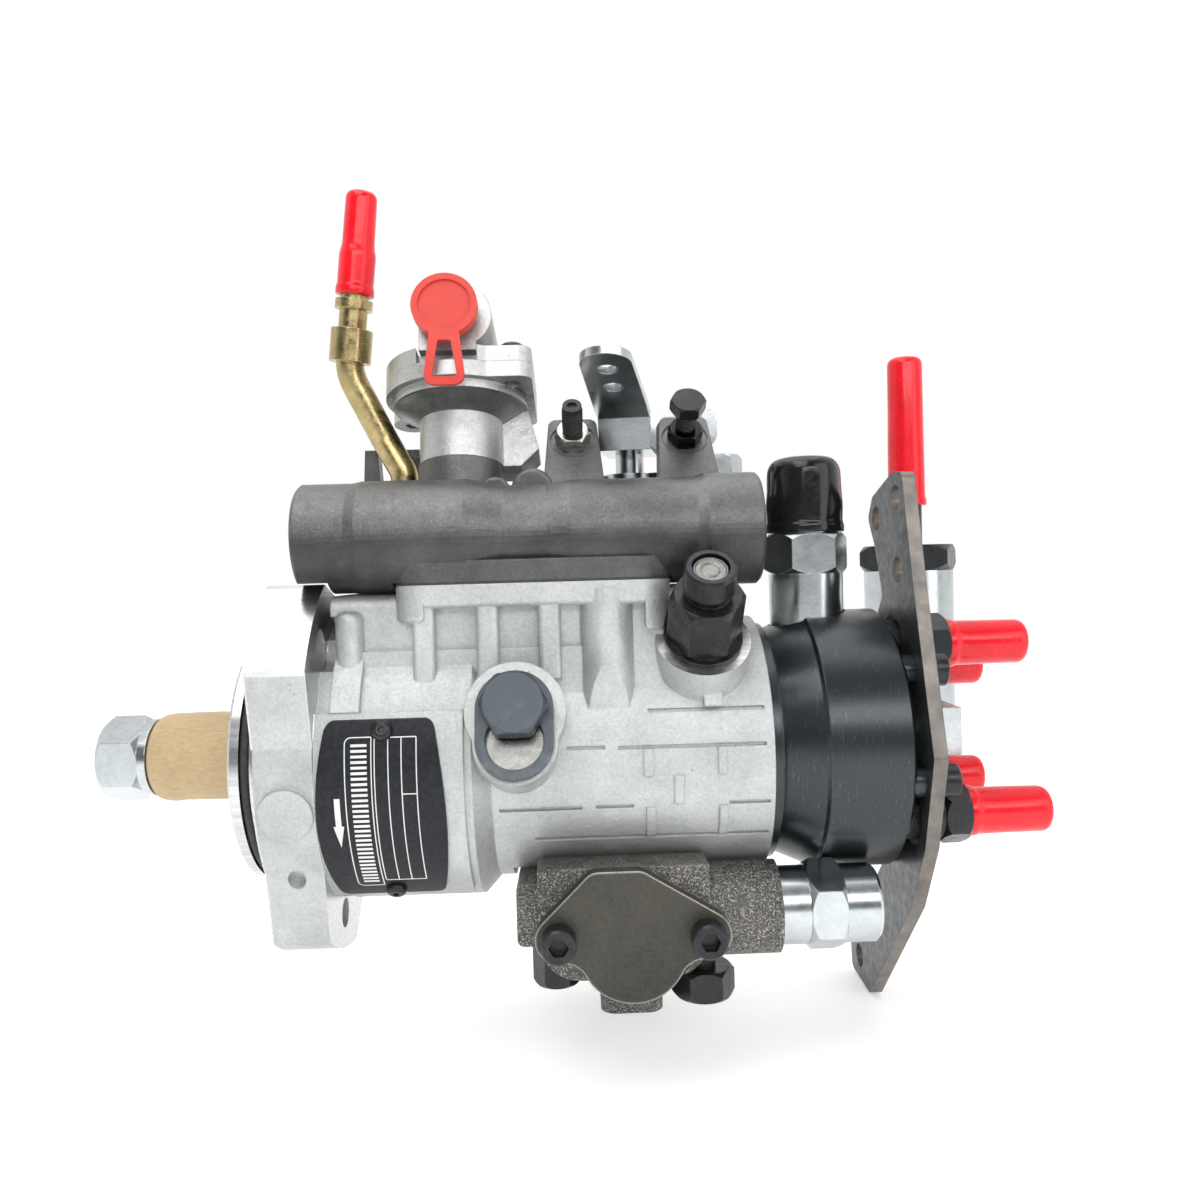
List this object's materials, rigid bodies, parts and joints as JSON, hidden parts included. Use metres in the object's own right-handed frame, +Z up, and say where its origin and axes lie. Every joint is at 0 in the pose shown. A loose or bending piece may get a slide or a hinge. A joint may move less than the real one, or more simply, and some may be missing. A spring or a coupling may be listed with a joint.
{
  "type": "rotary fuel injection pump",
  "caption": "Rotary distributor diesel injection pump with flange, drive shaft, governor cover, throttle lever, boost control, advance unit and capped outlets.",
  "frame": {"origin": "centre of the pilot spigot on the front face of the mounting flange", "axes": "+X along the drive shaft towards the outlets, +Z up to the governor cover, data plate on -Y"},
  "size_m": [0.2985, 0.1263, 0.2786],
  "materials": {
    "cast_aluminium": "satin",
    "cover_casting": "satin",
    "black_steel": "satin",
    "zinc_steel": "satin",
    "plain_steel": "satin",
    "ground_steel": "gloss",
    "yellow_zinc": "satin",
    "red_vinyl": "gloss",
    "black_vinyl": "gloss",
    "card": "matte",
    "black_rubber": "matte",
    "cast_iron": "matte",
    "bronze_cover": "satin",
    "plate_black": "gloss",
    "bronze": "satin"
  },
  "bodies": {
    "pump": {"pump_housing": "cast_aluminium", "data_plate": "plate_black", "data_plate_screws": "zinc_steel", "overflow_union": "zinc_steel", "shaft_seal": "black_rubber", "front_bush": "bronze", "o_rings": "black_rubber", "hydraulic_head": "black_steel", "outlet_unions": "black_steel", "head_sleeve": "ground_steel", "transfer_pump_liner": "ground_steel", "end_plate": "black_steel", "inlet_union": "black_steel", "rear_bracket": "black_steel", "bracket_screws": "black_steel", "stop_solenoid": "zinc_steel", "lock_spacer": "black_steel", "latch_valve": "black_steel", "governor_cover": "cover_casting", "cover_gasket": "black_rubber", "cover_screws": "black_steel", "stop_screw_nuts": "zinc_steel", "boost_body": "cast_aluminium", "boost_cover": "cast_aluminium", "boost_screws": "zinc_steel", "return_pipe": "yellow_zinc", "advance_housing": "cast_iron", "advance_cover": "bronze_cover", "advance_cover_screws": "black_steel", "advance_cap_nuts": "black_steel", "advance_end_plug": "black_steel", "advance_actuator": "zinc_steel"},
    "drive_line": {"drive_shaft": "plain_steel", "shaft_key": "plain_steel", "shaft_nut": "zinc_steel", "transit_sleeve": "card", "governor_cage": "plain_steel", "governor_weights": "plain_steel", "distributor_rotor": "ground_steel", "transfer_pump_blades": "plain_steel", "cam_rollers": "ground_steel", "roller_shoes": "plain_steel", "pumping_plungers": "ground_steel"},
    "cam": {"cam_ring": "ground_steel", "cam_advance_stud": "plain_steel"},
    "advance_piston": {"advance_piston": "ground_steel"},
    "thrust_sleeve": {"thrust_sleeve": "plain_steel"},
    "throttle": {"throttle_shaft": "zinc_steel", "throttle_lever": "zinc_steel", "lever_nut": "zinc_steel"},
    "idle_screw": {"idle_screw": "black_steel"},
    "max_speed_screw": {"max_speed_screw": "black_steel"},
    "boost_diaphragm": {"boost_diaphragm": "plain_steel"},
    "solenoid_plunger": {"solenoid_plunger": "plain_steel"},
    "lock_screw": {"shaft_lock_screw": "black_steel"},
    "outlet_caps": {"outlet_caps": "red_vinyl"},
    "inlet_cap": {"inlet_cap": "red_vinyl"},
    "return_cap": {"return_cap": "red_vinyl"},
    "boost_plug": {"boost_port_plug": "red_vinyl"},
    "solenoid_cap": {"solenoid_cap": "black_vinyl"}
  },
  "joints": [
    {"name": "drive_rotation", "type": "hinge", "parent": "pump", "child": "drive_line", "pos_m": [0, 0, 0], "axis": [1, 0, 0], "continuous": true},
    {"name": "advance_travel", "type": "slide", "parent": "pump", "child": "advance_piston", "axis": [0, 1, 0], "range_m": [-0.006, 0.006]},
    {"name": "cam_swing", "type": "hinge", "parent": "pump", "child": "cam", "pos_m": [0, 0, 0], "axis": [1, 0, 0], "range_deg": [-7.2, 7.2]},
    {"name": "governor_travel", "type": "slide", "parent": "pump", "child": "thrust_sleeve", "axis": [1, 0, 0], "range_m": [-0.002, 0.004]},
    {"name": "throttle_turn", "type": "hinge", "parent": "pump", "child": "throttle", "pos_m": [0.1125, 0.03, 0.098], "axis": [0, 0, 1], "range_deg": [0, 33]},
    {"name": "idle_screw_travel", "type": "slide", "parent": "pump", "child": "idle_screw", "axis": [0, -0.788, 0.6157], "range_m": [0, 0.003]},
    {"name": "max_speed_screw_travel", "type": "slide", "parent": "pump", "child": "max_speed_screw", "axis": [0, -0.788, 0.6157], "range_m": [0, 0.003]},
    {"name": "boost_travel", "type": "slide", "parent": "pump", "child": "boost_diaphragm", "axis": [0, 0.2079, 0.9781], "range_m": [-0.005, 0], "stiffness_N_per_m": 600, "springref_m": 0.004},
    {"name": "solenoid_travel", "type": "slide", "parent": "pump", "child": "solenoid_plunger", "axis": [0, 0, 1], "range_m": [0, 0.0025], "stiffness_N_per_m": 300, "springref_m": -0.004},
    {"name": "lock_screw_travel", "type": "slide", "parent": "pump", "child": "lock_screw", "axis": [0, -0.9304, 0.3665], "range_m": [0, 0.003]},
    {"name": "outlet_caps_pull", "type": "slide", "parent": "pump", "child": "outlet_caps", "axis": [1, 0, 0], "range_m": [0, 0.03]},
    {"name": "inlet_cap_pull", "type": "slide", "parent": "pump", "child": "inlet_cap", "axis": [0, 0, 1], "range_m": [0, 0.06]},
    {"name": "return_cap_pull", "type": "slide", "parent": "pump", "child": "return_cap", "axis": [0.1237, -0.0707, 0.9898], "range_m": [0, 0.02]},
    {"name": "boost_plug_pull", "type": "slide", "parent": "pump", "child": "boost_plug", "axis": [0, -0.9781, 0.2079], "range_m": [0, 0.015]},
    {"name": "solenoid_cap_pull", "type": "slide", "parent": "pump", "child": "solenoid_cap", "axis": [0, 0, 1], "range_m": [0, 0.03]}
  ],
  "couplings": [
    {"joint": "cam_swing", "follows": "advance_travel", "rad_per_m": 20.2}
  ]
}
